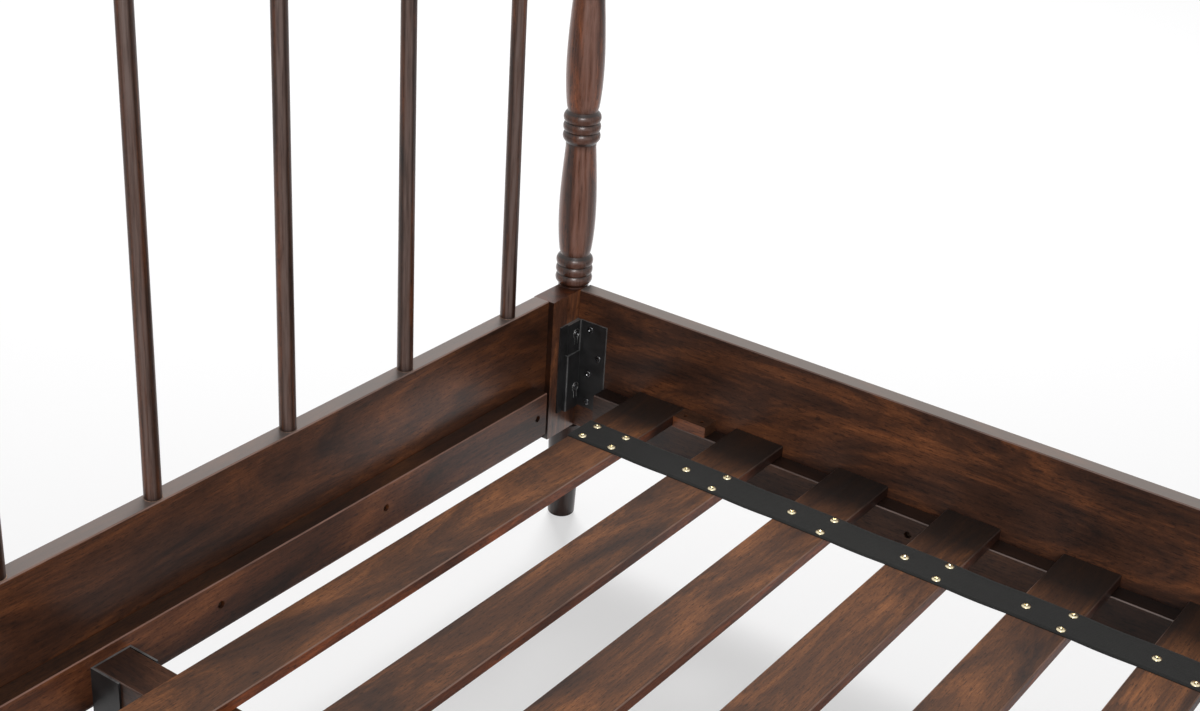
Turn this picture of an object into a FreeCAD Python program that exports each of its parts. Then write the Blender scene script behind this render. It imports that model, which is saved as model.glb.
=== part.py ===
import FreeCAD, Part
import Sketcher
import math
import os

# A full-size spindle bed in dark hardwood. Its head posts are turned from foot to finial, the rails
# drop into steel keepers at the four corners, and a roll of strapped slats lies on ledgers inside.
# Frame: millimetres, +Z up, floor at Z = 0, head end at +Y, origin midway between the four posts.

doc = FreeCAD.newDocument("SpindleBed")
sheet = doc.addObject("Spreadsheet::Sheet", "Dims")

DIMENSIONS = [
    # overall frame
    ("post_span", 1602, "between post axes, side to side"),
    ("post_reach", 2088, "between post axes, head to foot"),
    ("rail_top", 341, "floor to the top of rails and lower boards"),
    ("board_height", 195, "height of rails and lower boards"),
    ("board_thick", 23, "thickness of head and foot boards"),
    ("rail_thick", 22.5, "thickness of a side rail"),
    # turned posts
    ("neck_radius", 19.4, "plain round where the boards join"),
    ("foot_radius", 18, "tapered foot at the floor"),
    ("foot_shoulder", 23, "radius at the top of the tapered foot"),
    ("foot_edge", 3, "chamfer under the foot and over a foot post"),
    ("bead_radius", 23.5, "crest of a ring bead"),
    ("bead_valley", 22.2, "groove between two ring beads"),
    ("bead_pitch", 12, "crest to crest of the ring beads"),
    ("bead_end", 9.8, "outer crest to the end of a ring group"),
    ("foot_cap", 14, "height of a foot post above its board"),
    ("vase_belly", 23.8, "widest radius of a vase"),
    ("vase_height", 147, "height of a vase between ring groups"),
    ("head_vases", 3, "count of vases in a head post"),
    ("finial_neck", 12, "radius under the ball finial"),
    ("finial_cove", 6, "height of the neck under the ball"),
    ("finial_ball", 20.5, "radius of the ball finial"),
    # joint blocks and boards
    ("block_reach", 67, "post axis to the inner edge of a joint block"),
    ("block_cope", 8, "post axis to the lips of a block's coped side"),
    ("tenon_thick", 12, "thickness of every tenon"),
    ("tenon_length", 25, "board tenon into a joint block"),
    ("tenon_shoulder", 20, "shoulder above and below a board tenon"),
    ("post_tenon", 14, "top rail tenon into a post"),
    ("joint_gap", 0.2, "clearance in mortises and glue lines"),
    ("top_rail_height", 130, "height of the headboard's top rail"),
    ("top_rail_shoulder", 30, "shoulder above and below its tenon"),
    # spindles
    ("spindle_count", 8, "spindles in the headboard"),
    ("spindle_inset", 69, "joint block to the axis of the outer spindle"),
    ("spindle_radius", 9.2, "radius of a spindle"),
    ("spindle_depth", 20, "depth of a spindle in its hole"),
    # slat roll
    ("slat_count", 13, "slats in the roll"),
    ("slat_width", 68, "width of a slat"),
    ("slat_thick", 14.4, "thickness of a slat"),
    ("slat_ease", 1.2, "eased long edges of slats and cleats"),
    ("slat_end_gap", 0.5, "slat end to side rail"),
    ("slat_drop", 110.2, "rail top down to slat top"),
    ("first_slat", 109.4, "headboard's lower board to the first slat"),
    ("last_slat", 159.6, "last slat to the footboard"),
    ("strap_width", 50, "width of the webbing strap"),
    ("strap_thick", 2, "thickness of the webbing"),
    ("strap_inset", 129.7, "side rail to the strap's centre line"),
    # ledgers, cleats and stop blocks
    ("ledger_depth", 26.3, "ledger depth from the rail"),
    ("ledger_height", 45, "ledger height"),
    ("ledger_start", 68.3, "post axis to the end of a ledger"),
    ("cleat_thick", 24.3, "cleat thickness"),
    ("cleat_height", 60, "cleat height"),
    ("cleat_inset", 94.4, "post axis to the end of a cleat"),
    ("stop_length", 47, "length of a stop block along the rail"),
    ("stop_gap", 0.5, "stop block to slat"),
    # keepers and rail brackets
    ("steel", 2.5, "thickness of the steel fittings"),
    ("steel_gap", 0.3, "play of a tongue in its keeper"),
    ("bend", 2, "inside radius of a bend"),
    ("fitting_height", 122.5, "height of keepers and brackets"),
    ("fitting_drop", 39.3, "rail top down to the fittings"),
    ("keeper_width", 40, "width of a keeper plate"),
    ("keeper_inset", 0.5, "keeper plate to side rail"),
    ("pocket_height", 80, "height of the keeper's pocket"),
    ("tongue_reach", 27.5, "tongue width from the rail"),
    ("flange_reach", 45.5, "joint block to the end of the rail flange"),
    # centre support
    ("beam_width", 45, "centre beam width"),
    ("beam_height", 60, "centre beam height"),
    ("hanger_seat", 40, "length of the beam in its hanger"),
    ("leg_width", 42, "centre leg width"),
    ("leg_reach", 360, "mid-bed to a centre leg"),
    ("leg_lift", 20, "floor to the bottom of a centre leg"),
    ("pad_radius", 17, "radius of a levelling foot"),
    ("pad_height", 8, "height of a levelling foot"),
    ("stud_radius", 4, "radius of its stud"),
    ("stud_length", 42, "length of the stud above the pad"),
    ("stud_travel", 10, "travel of the stud into the leg"),
    ("stud_play", 0.05, "radial clearance of the stud"),
    ("stud_headroom", 2, "bore left above the stud at the end of its travel"),
    # screws
    ("screw_recess", 4.4, "radius of the recesses in ledgers and cleats"),
    ("recess_depth", 8, "depth of every recess"),
    ("ledger_screw_end", 81.7, "end of a ledger to its first recess"),
    ("ledger_screw_gap", 370.7, "first recess to the second"),
    ("cleat_screw_inner", 147, "mid-bed to a cleat's inner recess"),
    ("cleat_screw_middle", 404, "mid-bed to its middle recess"),
    ("cleat_screw_outer", 689, "mid-bed to its outer recess"),
    ("stop_screw", 2.6, "radius of the screw holes in a stop block"),
    ("stop_screw_in", 15.6, "side rail to those holes"),
    ("stop_screw_end", 11.5, "end of a stop block to its screw hole"),
    ("screw_head", 4.4, "head radius of a fitting's screw"),
    ("screw_head_height", 1.6, "head height of a fitting's screw"),
    ("screw_shank", 1.9, "shank radius of a fitting's screw"),
    ("screw_hole", 2.3, "screw hole radius in the steel"),
    ("screw_grip", 18, "length of a fitting's screw under its head"),
    ("tongue_screw_in", 10.75, "side rail to the tongue's screws"),
    ("tongue_screw_high", 17.1, "fitting's top down to the upper tongue screw"),
    ("tongue_screw_low", 92.7, "fitting's top down to the lower tongue screw"),
    ("flange_screw_near", 21.1, "joint block to the flange's near screws"),
    ("flange_screw_far", 35.6, "joint block to the flange's far screw"),
    ("flange_screw_a", 9.7, "fitting's top down to the first flange screw"),
    ("flange_screw_b", 46.9, "fitting's top down to the far flange screw"),
    ("flange_screw_c", 73.1, "fitting's top down to the third flange screw"),
    ("flange_screw_d", 113.5, "fitting's top down to the lowest flange screw"),
]


class Size:
    """A length that knows its number and the sheet expression that gives it."""

    def __init__(self, value, text):
        self.value = float(value)
        self.text = text

    def __add__(self, other):
        other = as_size(other)
        return Size(self.value + other.value, f"({self.text} + {other.text})")

    def __sub__(self, other):
        other = as_size(other)
        return Size(self.value - other.value, f"({self.text} - {other.text})")

    def __mul__(self, other):
        other = as_size(other)
        return Size(self.value * other.value, f"({self.text} * {other.text})")

    def __truediv__(self, other):
        other = as_size(other)
        return Size(self.value / other.value, f"({self.text} / {other.text})")

    def __neg__(self):
        return Size(-self.value, f"(0 - {self.text})")

    __radd__ = __add__
    __rmul__ = __mul__

    def root(self):
        return Size(math.sqrt(self.value), f"sqrt({self.text})")


def as_size(number):
    return number if isinstance(number, Size) else Size(number, repr(float(number)))


class Sizes:
    """Every driving dimension of the sheet, by its alias."""


d = Sizes()
for row, (alias, number, note) in enumerate(DIMENSIONS, start=1):
    sheet.set(f"A{row}", note)
    sheet.set(f"B{row}", str(number))
    sheet.setAlias(f"B{row}", alias)
    setattr(d, alias, Size(number, f"Dims.{alias}"))
doc.recompute()

ZERO = Size(0, "0")
SIDES = (("left", -1), ("right", 1))
ENDS = (("foot", -1), ("head", 1))
X_WARD = FreeCAD.Rotation(FreeCAD.Vector(0, 1, 0), 90)
Y_WARD = FreeCAD.Rotation(FreeCAD.Vector(1, 0, 0), -90)
Z_WARD = FreeCAD.Rotation()
SOCKET_SIDES = 12
HOLE_SIDES = 8
SHANK_SIDES = 6


def bind(thing, **sizes):
    """Ties properties of an object to the sheet."""
    for name, size in sizes.items():
        thing.setExpression(name, as_size(size).text)


def place(thing, x=ZERO, y=ZERO, z=ZERO, turn=None):
    """Ties an object's place to the sheet, after an optional turn."""
    if turn is not None:
        thing.Placement.Rotation = turn
    for axis, size in (("x", x), ("y", y), ("z", z)):
        thing.setExpression(f"Placement.Base.{axis}", as_size(size).text)


def box(name, x, y, z):
    """A box between low and high sizes on each axis, each given as a (low, high) pair."""
    block = doc.addObject("Part::Box", name)
    bind(block, Length=x[1] - x[0], Width=y[1] - y[0], Height=z[1] - z[0])
    place(block, x[0], y[0], z[0])
    return block


def rod(name, radius, length, x, y, z, turn=Z_WARD):
    """A cylinder that starts at a point and runs along the turned Z axis."""
    pin = doc.addObject("Part::Cylinder", name)
    bind(pin, Radius=radius, Height=length)
    place(pin, x, y, z, turn)
    return pin


def peg(name, sides, radius, length, x, y, z, turn=Z_WARD):
    """A short many-sided rod, light enough to repeat for every screw."""
    prism = doc.addObject("Part::Prism", name)
    prism.Polygon = sides
    bind(prism, Circumradius=radius, Height=length)
    place(prism, x, y, z, turn)
    return prism


def hole(name, sides, radius, length, x, y, z, turn=Z_WARD):
    """A hole with flats, so that it stays light, and nowhere tighter than the round one."""
    flat = math.cos(math.pi / sides)
    return peg(name, sides, radius / flat, length, x, y, z, turn)


def fuse(name, shapes):
    whole = doc.addObject("Part::MultiFuse", name)
    whole.Shapes = shapes
    whole.Refine = True
    return whole


def group(name, shapes):
    """Like pieces that share one node and stay separate solids."""
    together = doc.addObject("Part::Compound", name)
    together.Links = shapes
    return together


def cut(name, base, tools):
    rest = doc.addObject("Part::Cut", name)
    rest.Base = base
    rest.Tool = tools[0] if len(tools) == 1 else group(name + "_cuts", tools)
    rest.Refine = True
    return rest


def signed(side, low, high):
    """The span between two distances from the centre line, on one side of it."""
    return (low, high) if side > 0 else (-high, -low)


finished = []


def finish(thing, label):
    """Gives a sub-part the name that its file takes."""
    thing.Label = label
    finished.append(thing)
    return thing


def draw(body, plane_role, outline, name):
    """A closed sketch on an origin plane of its body, every corner tied to the sheet.

    The outline starts with a point. After it come points for straight runs, and (point, centre)
    pairs for anticlockwise arcs that end at that point.
    """
    sketch = body.newObject("Sketcher::SketchObject", name)
    plane = [p for p in body.Origin.OriginFeatures if p.Role == plane_role][0]
    sketch.AttachmentSupport = (plane, [""])
    sketch.MapMode = "FlatFace"

    def tie(geometry, corner, point):
        for kind, size, axis in (("DistanceX", point[0], -2), ("DistanceY", point[1], -1)):
            if size.text == "0":
                sketch.addConstraint(Sketcher.Constraint("PointOnObject", geometry, corner, axis))
            else:
                rule = Sketcher.Constraint(kind, -1, 1, geometry, corner, size.value)
                index = sketch.addConstraint(rule)
                sketch.setExpression(f"Constraints[{index}]", size.text)

    start = outline[0]
    here = start
    for step in outline[1:] + [start]:
        curved = isinstance(step[0], tuple)
        there = step[0] if curved else step
        a = FreeCAD.Vector(here[0].value, here[1].value, 0)
        b = FreeCAD.Vector(there[0].value, there[1].value, 0)
        if curved:
            c = FreeCAD.Vector(step[1][0].value, step[1][1].value, 0)
            circle = Part.Circle(c, FreeCAD.Vector(0, 0, 1), (a - c).Length)
            turn_a = math.atan2(a.y - c.y, a.x - c.x)
            turn_b = math.atan2(b.y - c.y, b.x - c.x)
            index = sketch.addGeometry(Part.ArcOfCircle(circle, turn_a, turn_b), False)
            tie(index, 3, step[1])
        else:
            index = sketch.addGeometry(Part.LineSegment(a, b), False)
        if index:
            sketch.addConstraint(Sketcher.Constraint("Coincident", index - 1, 2, index, 1))
        if there is start:
            sketch.addConstraint(Sketcher.Constraint("Coincident", index, 2, 0, 1))
        else:
            if not curved:
                tie(index, 2, there)
            elif there[0].text == "0":
                sketch.addConstraint(Sketcher.Constraint("PointOnObject", index, 2, -2))
            else:
                rule = Sketcher.Constraint("DistanceY", -1, 1, index, 2, there[1].value)
                spot = sketch.addConstraint(rule)
                sketch.setExpression(f"Constraints[{spot}]", there[1].text)
        here = there
    tie(0, 1, start)
    return sketch


def pad(name, outline, length, plane_role="YZ_Plane"):
    """A body made by pushing a sketched outline along the plane's normal."""
    body = doc.addObject("PartDesign::Body", name)
    push = body.newObject("PartDesign::Pad", name + "_pad")
    push.Profile = draw(body, plane_role, outline, name + "_outline")
    bind(push, Length=length)
    body.Tip = push
    return body


def eased_bar(name, length, width, height):
    """A planed bar along +X from the origin, with its four long edges eased."""
    e = d.slat_ease
    outline = [
        (e, ZERO),
        (width - e, ZERO),
        (width, e),
        (width, height - e),
        (width - e, height),
        (e, height),
        (ZERO, height - e),
        (ZERO, e),
    ]
    return pad(name, outline, length)


# ---- levels and planes that several pieces share ----
post_x = d.post_span / 2
post_y = d.post_reach / 2
rail_face = post_x - d.rail_thick / 2
block_face = post_y - d.neck_radius
board_face = post_y - d.board_thick / 2
rail_bottom = d.rail_top - d.board_height
slat_top = d.rail_top - d.slat_drop
ledger_top = slat_top - d.slat_thick

# ---- turned posts ----
# A ring group is three beads: arcs of one radius whose centres lie inside the post.
bead_sag = d.bead_radius - d.bead_valley
bead_arc = (d.bead_pitch * d.bead_pitch / 4 + bead_sag * bead_sag) / (bead_sag * 2)
bead_centre = d.bead_radius - bead_arc
ring_lip = bead_centre + (bead_arc * bead_arc - d.bead_end * d.bead_end).root()
ring_height = d.bead_pitch * 2 + d.bead_end * 2

# A vase is one long arc from ring to ring, level with its centre at the belly.
half_vase = d.vase_height / 2
vase_swell = d.vase_belly - ring_lip
vase_arc = (half_vase * half_vase + vase_swell * vase_swell) / (vase_swell * 2)
vase_centre = d.vase_belly - vase_arc


def ring_group(z):
    """Outline steps of the three beads above a height."""
    steps = []
    for bead in range(3):
        crest = z + d.bead_end + d.bead_pitch * bead
        foot = (d.bead_valley, crest + d.bead_pitch / 2)
        if bead == 2:
            foot = (ring_lip, z + ring_height)
        steps.append((foot, (bead_centre, crest)))
    return steps


def foot_outline():
    """Half profile of the tapered foot that every post stands on."""
    return [
        (ZERO, ZERO),
        (d.foot_radius - d.foot_edge, ZERO),
        (d.foot_radius, d.foot_edge),
        (d.foot_shoulder, rail_bottom - d.foot_edge),
        (d.neck_radius, rail_bottom),
    ]


def foot_post_outline():
    """Half profile of a low foot post, which ends in a chamfered cap."""
    top = d.rail_top + d.foot_cap
    steps = foot_outline()
    steps.append((d.neck_radius, top - d.foot_edge))
    steps.append((d.neck_radius - d.foot_edge, top))
    steps.append((ZERO, top))
    return steps


def head_post_outline():
    """Half profile of a head post: rings and vases, a plain neck at the top rail, a ball."""
    z = d.rail_top
    steps = foot_outline()
    steps.append((d.neck_radius, z))
    steps.append((ring_lip, z))
    steps += ring_group(z)
    z = z + ring_height
    for _ in range(int(d.head_vases.value)):
        steps.append(((ring_lip, z + d.vase_height), (vase_centre, z + half_vase)))
        z = z + d.vase_height
        steps += ring_group(z)
        z = z + ring_height
    steps.append((d.neck_radius, z))
    steps.append((d.neck_radius, z + d.top_rail_height))
    z = z + d.top_rail_height
    ball = d.finial_ball
    ball_z = z + d.finial_cove + (ball * ball - d.finial_neck * d.finial_neck).root()
    steps.append((d.finial_neck, z))
    steps.append((d.finial_neck, z + d.finial_cove))
    steps.append(((ZERO, ball_z + ball), (ZERO, ball_z)))
    return steps


def turned(name, outline):
    """A lathe-turned body about its own Z axis."""
    body = doc.addObject("PartDesign::Body", name)
    sketch = draw(body, "XZ_Plane", outline, name + "_outline")
    spin = body.newObject("PartDesign::Revolution", name + "_turning")
    spin.Profile = sketch
    spin.ReferenceAxis = (sketch, ["V_Axis"])
    spin.Angle = 360
    body.Tip = spin
    return body


rail_z = d.rail_top + ring_height + d.head_vases * (d.vase_height + ring_height)
tenon_z = (rail_z + d.top_rail_shoulder, rail_z + d.top_rail_height - d.top_rail_shoulder)
half_tenon = d.tenon_thick / 2


def grown(span, by):
    """A (low, high) span widened at both ends."""
    return (span[0] - by, span[1] + by)


for end_name, end in ENDS:
    for side_name, side in SIDES:
        label = f"{end_name}_post_{side_name}"
        outline = head_post_outline() if end > 0 else foot_post_outline()
        post = turned(label + "_turned", outline)
        place(post, post_x * side, post_y * end)
        if end > 0:
            floor_x = post_x - d.neck_radius
            mortise = box(
                label + "_mortise",
                signed(side, floor_x - d.joint_gap, floor_x + d.post_tenon + d.joint_gap),
                grown((post_y - half_tenon, post_y + half_tenon), d.joint_gap),
                grown(tenon_z, d.joint_gap),
            )
            post = cut(label, post, [mortise])
        finish(post, label)

# ---- joint blocks: glued to a post, slotted for the lower board's tenon ----
# Their backs are flush with the board's outer face.
block_low = post_x - d.block_reach
board_tenon_z = (rail_bottom + d.tenon_shoulder, d.rail_top - d.tenon_shoulder)
for end_name, end in ENDS:
    for side_name, side in SIDES:
        label = f"{end_name}_block_{side_name}"
        solid = box(
            label + "_bar",
            signed(side, block_low, post_x - d.block_cope),
            signed(end, block_face, post_y + d.board_thick / 2),
            (rail_bottom, d.rail_top),
        )
        cope = rod(
            label + "_cope",
            d.neck_radius + d.joint_gap,
            d.board_height,
            post_x * side,
            post_y * end,
            rail_bottom,
        )
        middle = post_y * end
        slot = box(
            label + "_slot",
            signed(side, block_low - d.joint_gap, block_low + d.tenon_length + d.joint_gap),
            grown((middle - half_tenon, middle + half_tenon), d.joint_gap),
            grown(board_tenon_z, d.joint_gap),
        )
        finish(cut(label, solid, [cope, slot]), label)

# ---- lower boards of head and foot, tenoned into the joint blocks ----
spindle_count = int(d.spindle_count.value)
outer_spindle = block_low - d.spindle_inset
spindle_x = [outer_spindle * (2 * i / (spindle_count - 1) - 1) for i in range(spindle_count)]
for end_name, end in ENDS:
    label = "headboard_lower_board" if end > 0 else "footboard"
    board = eased_bar(label + "_bar", block_low * 2, d.board_thick, d.board_height)
    place(board, -block_low, post_y * end - d.board_thick / 2, rail_bottom)
    tenon = box(
        label + "_tenons",
        (-block_low - d.tenon_length, block_low + d.tenon_length),
        (post_y * end - half_tenon, post_y * end + half_tenon),
        board_tenon_z,
    )
    whole = fuse(label + "_blank", [board, tenon])
    if end > 0:
        holes = [
            hole(
                f"{label}_hole_{i + 1}",
                SOCKET_SIDES,
                d.spindle_radius + d.joint_gap,
                d.spindle_depth,
                x,
                post_y,
                d.rail_top - d.spindle_depth,
            )
            for i, x in enumerate(spindle_x)
        ]
        whole = cut(label, whole, holes)
    finish(whole, label)

# ---- the headboard's top rail, scribed to the round posts ----
top_bar = eased_bar("top_rail_bar", post_x * 2 - d.neck_radius, d.board_thick, d.top_rail_height)
place(top_bar, d.neck_radius / 2 - post_x, post_y - d.board_thick / 2, rail_z)
scribes = [
    rod(
        f"top_rail_scribe_{side_name}",
        d.neck_radius + d.joint_gap,
        d.top_rail_height,
        post_x * side,
        post_y,
        rail_z,
    )
    for side_name, side in SIDES
]
scribed = cut("top_rail_scribed", top_bar, scribes)
reach = post_x - d.neck_radius + d.post_tenon
top_tenon = box(
    "top_rail_tenons", (-reach, reach), (post_y - half_tenon, post_y + half_tenon), tenon_z
)
sockets = [
    hole(
        f"top_rail_hole_{i + 1}",
        SOCKET_SIDES,
        d.spindle_radius + d.joint_gap,
        d.spindle_depth,
        x,
        post_y,
        rail_z,
    )
    for i, x in enumerate(spindle_x)
]
top_rail = cut("top_rail", fuse("top_rail_blank", [scribed, top_tenon]), sockets)
finish(top_rail, "headboard_top_rail")

# ---- spindles: slim rods, set into both rails of the headboard ----
spindle_low = d.rail_top - d.spindle_depth
spindle_length = rail_z + d.spindle_depth - spindle_low
for i, x in enumerate(spindle_x):
    spindle = rod(
        f"spindle_{i + 1}_rod", d.spindle_radius, spindle_length, x, post_y, spindle_low
    )
    finish(spindle, f"spindle_{i + 1}")

# ---- side rails and the ledgers screwed to their inner faces ----
ALONG_Y = FreeCAD.Rotation(FreeCAD.Vector(0, 0, 1), 90)
rail_half = block_face - d.joint_gap
ledger_half = post_y - d.ledger_start
ledger_low = ledger_top - d.ledger_height
outer_screw_y = ledger_half - d.ledger_screw_end
inner_screw_y = outer_screw_y - d.ledger_screw_gap
ledger_screw_y = [-outer_screw_y, -inner_screw_y, ZERO, inner_screw_y, outer_screw_y]
for side_name, side in SIDES:
    rail = eased_bar(f"side_rail_{side_name}_bar", rail_half * 2, d.rail_thick, d.board_height)
    place(rail, post_x * side + d.rail_thick / 2, -rail_half, rail_bottom, ALONG_Y)
    finish(rail, f"side_rail_{side_name}")

    label = f"ledger_{side_name}"
    bar = eased_bar(label + "_bar", ledger_half * 2, d.ledger_depth, d.ledger_height)
    high_x = rail_face if side > 0 else d.ledger_depth - rail_face
    place(bar, high_x, -ledger_half, ledger_low, ALONG_Y)
    front = (rail_face - d.ledger_depth) * side
    recesses = [
        hole(
            f"{label}_recess_{i + 1}",
            HOLE_SIDES,
            d.screw_recess,
            d.recess_depth,
            front if side > 0 else front - d.recess_depth,
            y,
            ledger_low + d.ledger_height / 2,
            X_WARD,
        )
        for i, y in enumerate(ledger_screw_y)
    ]
    finish(cut(label, bar, recesses), label)

# ---- cleats screwed to the head and foot boards, level with the slats ----
cleat_half = post_x - d.cleat_inset
cleat_screw_x = [
    x * side
    for _, side in SIDES
    for x in (d.cleat_screw_outer, d.cleat_screw_middle, d.cleat_screw_inner)
]
for end_name, end in ENDS:
    label = f"{end_name}_cleat"
    bar = eased_bar(label + "_bar", cleat_half * 2, d.cleat_thick, d.cleat_height)
    low_y = board_face - d.cleat_thick if end > 0 else -board_face
    place(bar, -cleat_half, low_y, slat_top - d.cleat_height)
    front = (board_face - d.cleat_thick) * end
    recesses = [
        hole(
            f"{label}_recess_{i + 1}",
            HOLE_SIDES,
            d.screw_recess,
            d.recess_depth,
            x,
            front if end > 0 else front - d.recess_depth,
            slat_top - d.cleat_height / 2,
            Y_WARD,
        )
        for i, x in enumerate(cleat_screw_x)
    ]
    finish(cut(label, bar, recesses), label)

# ---- slat roll: slats on the ledgers, joined by two webbing straps ----
slat_half = rail_face - d.slat_end_gap
slat_count = int(d.slat_count.value)
first_high_y = board_face - d.first_slat
last_high_y = d.last_slat + d.slat_width - board_face
slat_pitch = (first_high_y - last_high_y) / (slat_count - 1)
slat_high_y = [first_high_y - slat_pitch * i for i in range(slat_count)]
for i, high in enumerate(slat_high_y):
    slat = eased_bar(f"slat_{i + 1:02d}_bar", slat_half * 2, d.slat_width, d.slat_thick)
    place(slat, -slat_half, high - d.slat_width, ledger_top)
    finish(slat, f"slat_{i + 1:02d}")

strap_x = rail_face - d.strap_inset
half_strap = d.strap_width / 2
for side_name, side in SIDES:
    strap = box(
        f"strap_{side_name}_web",
        (strap_x * side - half_strap, strap_x * side + half_strap),
        (slat_high_y[-1] - d.slat_width, slat_high_y[0]),
        (slat_top, slat_top + d.strap_thick),
    )
    finish(strap, f"strap_{side_name}")

# ---- stop blocks on the ledgers, against the first and last slats ----
stop_head = slat_high_y[0] - d.slat_width - d.stop_gap
stop_foot = slat_high_y[-1] + d.stop_gap
stops = []
for side_name, side in SIDES:
    for end_name, low in (("head", stop_head - d.stop_length), ("foot", stop_foot)):
        label = f"stop_{end_name}_{side_name}"
        high = low + d.stop_length
        bar = box(
            label + "_bar",
            signed(side, rail_face - d.ledger_depth, rail_face),
            (low, high),
            (ledger_top, slat_top),
        )
        recesses = [
            hole(
                f"{label}_recess_{i + 1}",
                HOLE_SIDES,
                d.stop_screw,
                d.recess_depth,
                (rail_face - d.stop_screw_in) * side,
                y,
                slat_top - d.recess_depth,
            )
            for i, y in enumerate((low + d.stop_screw_end, high - d.stop_screw_end))
        ]
        stops.append(cut(label, bar, recesses))
finish(group("stop_blocks_group", stops), "stop_blocks")

# ---- steel keepers on the joint blocks and the rail brackets that hang in them ----
fitting_top = d.rail_top - d.fitting_drop
fitting_low = fitting_top - d.fitting_height
keeper_x = rail_face - d.keeper_inset
tongue_back = d.steel + d.steel_gap
tongue_front = tongue_back + d.steel
wall_back = tongue_front + d.steel_gap
wall_front = wall_back + d.steel
web_x = rail_face - d.tongue_reach - d.steel_gap
wall_end = rail_face - d.steel - d.bend - d.steel_gap * 2
tongue_screw_x = rail_face - d.tongue_screw_in
tongue_screw_z = (fitting_top - d.tongue_screw_high, fitting_top - d.tongue_screw_low)
flange_screws = [
    (d.flange_screw_near, fitting_top - d.flange_screw_a),
    (d.flange_screw_far, fitting_top - d.flange_screw_b),
    (d.flange_screw_near, fitting_top - d.flange_screw_c),
    (d.flange_screw_near, fitting_top - d.flange_screw_d),
]


def off_block(end, near, far):
    """The span between two distances in front of a joint block, at one end of the bed."""
    return signed(end, block_face - far, block_face - near)


def upright_edges(shape, corners):
    """Numbers of the vertical edges that stand on given (x, y) corners."""
    numbers = []
    for number, edge in enumerate(shape.Edges, start=1):
        a, b = edge.Vertexes[0].Point, edge.Vertexes[-1].Point
        if abs(a.x - b.x) + abs(a.y - b.y) > 0.001:
            continue
        for x, y in corners:
            if abs(a.x - x.value) + abs(a.y - y.value) < 0.01:
                numbers.append(number)
    return numbers


def bent(name, base, corners):
    """Rounds the bends of a steel fitting: (x, y, radius) for each vertical corner."""
    doc.recompute()
    fold = doc.addObject("Part::Fillet", name)
    fold.Base = base
    edges = []
    for x, y, radius in corners:
        for number in upright_edges(base.Shape, [(x, y)]):
            edges.append((number, radius.value, radius.value))
    fold.Edges = edges
    return fold


screws = []


def steel_screw(name, x, y, z, along_x, toward):
    """A pan-head screw whose head sits on steel at a point and whose shank runs toward +1 or -1."""
    turn = X_WARD if along_x else Y_WARD
    length = d.screw_head_height
    grip = d.screw_grip
    for part, sides, radius, start, run in (
        ("head", HOLE_SIDES, d.screw_head, -length if toward > 0 else ZERO, length),
        ("shank", SHANK_SIDES, d.screw_shank, ZERO if toward > 0 else -grip, grip),
    ):
        screws.append(
            peg(
                f"{name}_{part}",
                sides,
                radius,
                run,
                x + start if along_x else x,
                y if along_x else y + start,
                z,
                turn,
            )
        )


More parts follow.
